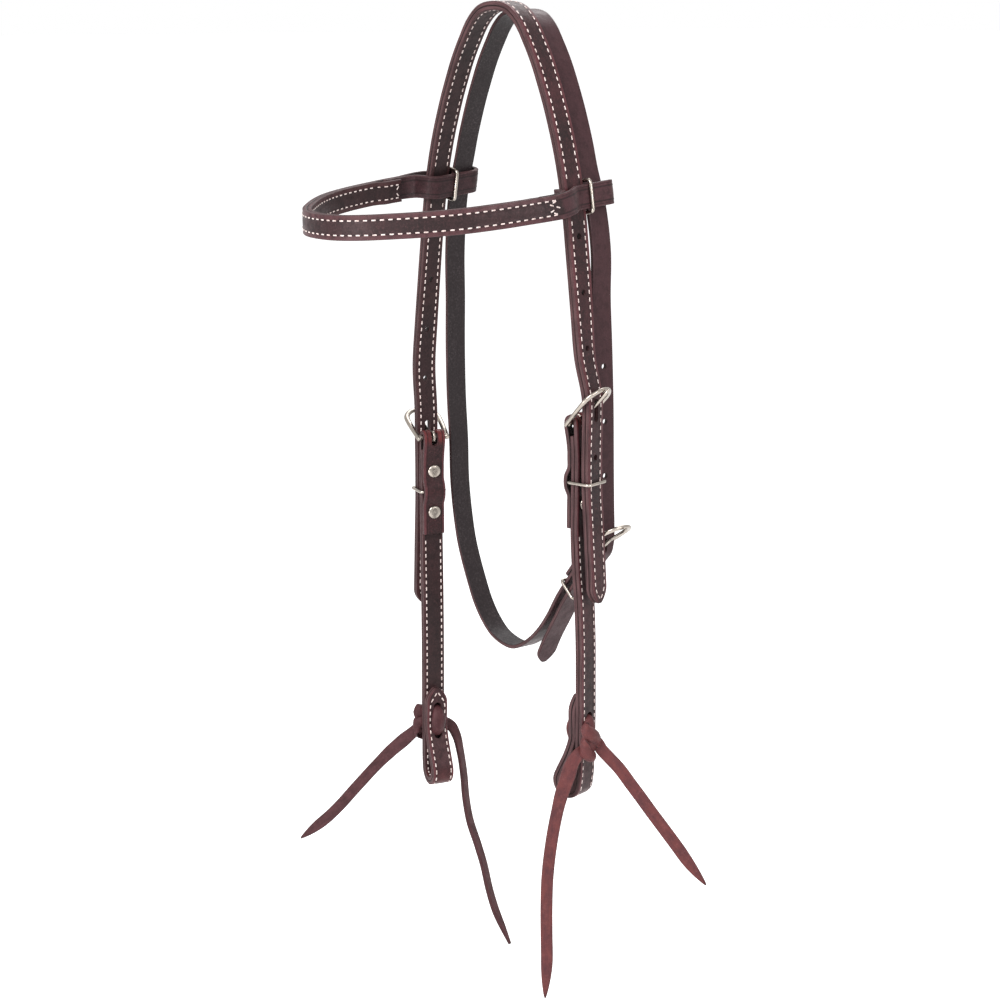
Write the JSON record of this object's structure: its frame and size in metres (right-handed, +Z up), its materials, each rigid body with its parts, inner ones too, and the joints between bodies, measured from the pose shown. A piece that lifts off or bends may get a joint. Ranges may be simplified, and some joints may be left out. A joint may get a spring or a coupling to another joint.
{
  "type": "western headstall",
  "caption": "Browband headstall of doubled, stitched dark leather, with buckled crown ends, a throatlatch, wire keepers and tie laces at the bit ends.",
  "frame": {"origin": "under the middle of the crown strap, where its lining lies on the poll", "axes": "+Z up, -Y towards the forehead, +X towards the near side, which has the throatlatch buckle"},
  "size_m": [0.3489, 0.206, 0.6993],
  "materials": {
    "oxblood_outer": "waxed, stitched",
    "dark_lining": "matt",
    "throat_leather": "waxed grain, rough flesh side",
    "lace_leather": "oiled, matt",
    "steel": "warm polished stainless"
  },
  "bodies": {
    "headstall": {"crown_outer_layer": "oxblood_outer", "crown_lining": "dark_lining", "throatlatch_strap": "throat_leather", "near_cheek_outer_layer": "oxblood_outer", "near_cheek_lining": "dark_lining", "near_upper_screw_post": "steel", "near_upper_screw_cap": "steel", "near_lower_screw_post": "steel", "near_lower_screw_cap": "steel", "near_tie_knot": "lace_leather", "near_tie_tail_front": "lace_leather", "near_tie_tail_rear": "lace_leather", "far_cheek_outer_layer": "oxblood_outer", "far_cheek_lining": "dark_lining", "far_upper_screw_post": "steel", "far_upper_screw_cap": "steel", "far_lower_screw_post": "steel", "far_lower_screw_cap": "steel", "far_tie_knot": "lace_leather", "far_tie_tail_front": "lace_leather", "far_tie_tail_rear": "lace_leather", "throat_screw_post": "steel", "throat_screw_cap": "steel"},
    "browband": {"browband_outer_layer": "oxblood_outer", "browband_lining": "dark_lining"},
    "near_band_loop": {"near_browband_wire_loop": "steel"},
    "far_band_loop": {"far_browband_wire_loop": "steel"},
    "near_buckle_frame_body": {"near_buckle_frame": "steel"},
    "near_buckle_tongue_body": {"near_buckle_tongue": "steel"},
    "near_keeper_wire_body": {"near_keeper_wire": "steel"},
    "far_buckle_frame_body": {"far_buckle_frame": "steel"},
    "far_buckle_tongue_body": {"far_buckle_tongue": "steel"},
    "far_keeper_wire_body": {"far_keeper_wire": "steel"},
    "throat_buckle_frame_body": {"throat_buckle_frame": "steel"},
    "throat_buckle_tongue_body": {"throat_buckle_tongue": "steel"},
    "throat_keeper_wire_body": {"throat_keeper_wire": "steel"}
  },
  "joints": [
    {"name": "browband_slide", "type": "slide", "parent": "headstall", "child": "browband", "axis": [0, 0, 1], "range_m": [-0.003, 0.003]},
    {"name": "near_band_loop_slide", "type": "slide", "parent": "browband", "child": "near_band_loop", "axis": [-0.1702, 0, 0.9854], "range_m": [-0.0006, 0.0006]},
    {"name": "far_band_loop_slide", "type": "slide", "parent": "browband", "child": "far_band_loop", "axis": [0.1702, 0, 0.9854], "range_m": [-0.0006, 0.0006]},
    {"name": "near_frame_tilt", "type": "hinge", "parent": "headstall", "child": "near_buckle_frame_body", "pos_m": [0.0813, 0, -0.265], "axis": [-0.2419, 0.9703, 0], "range_deg": [-1.5, 4]},
    {"name": "near_tongue_swing", "type": "hinge", "parent": "near_buckle_frame_body", "child": "near_buckle_tongue_body", "pos_m": [0.0813, 0, -0.265], "axis": [-0.2419, 0.9703, 0], "range_deg": [0, 4]},
    {"name": "near_keeper_slide", "type": "slide", "parent": "headstall", "child": "near_keeper_wire_body", "axis": [0, 0, 1], "range_m": [-0.003, 0.003]},
    {"name": "far_frame_tilt", "type": "hinge", "parent": "headstall", "child": "far_buckle_frame_body", "pos_m": [-0.0813, 0, -0.3014], "axis": [-0.2419, -0.9703, 0], "range_deg": [-4, 4]},
    {"name": "far_tongue_swing", "type": "hinge", "parent": "far_buckle_frame_body", "child": "far_buckle_tongue_body", "pos_m": [-0.0813, 0, -0.3014], "axis": [-0.2419, -0.9703, 0], "range_deg": [0, 4]},
    {"name": "far_keeper_slide", "type": "slide", "parent": "headstall", "child": "far_keeper_wire_body", "axis": [0, 0, 1], "range_m": [-0.003, 0.003]},
    {"name": "throat_frame_tilt", "type": "hinge", "parent": "headstall", "child": "throat_buckle_frame_body", "pos_m": [0.0733, 0.025, -0.3548], "axis": [0, 1, 0], "range_deg": [-4, 4]},
    {"name": "throat_tongue_swing", "type": "hinge", "parent": "throat_buckle_frame_body", "child": "throat_buckle_tongue_body", "pos_m": [0.0733, 0.025, -0.3548], "axis": [0, 1, 0], "range_deg": [0, 4]},
    {"name": "throat_keeper_slide", "type": "slide", "parent": "headstall", "child": "throat_keeper_wire_body", "axis": [0.6428, 0, 0.766], "range_m": [-0.002, 0.002]}
  ]
}
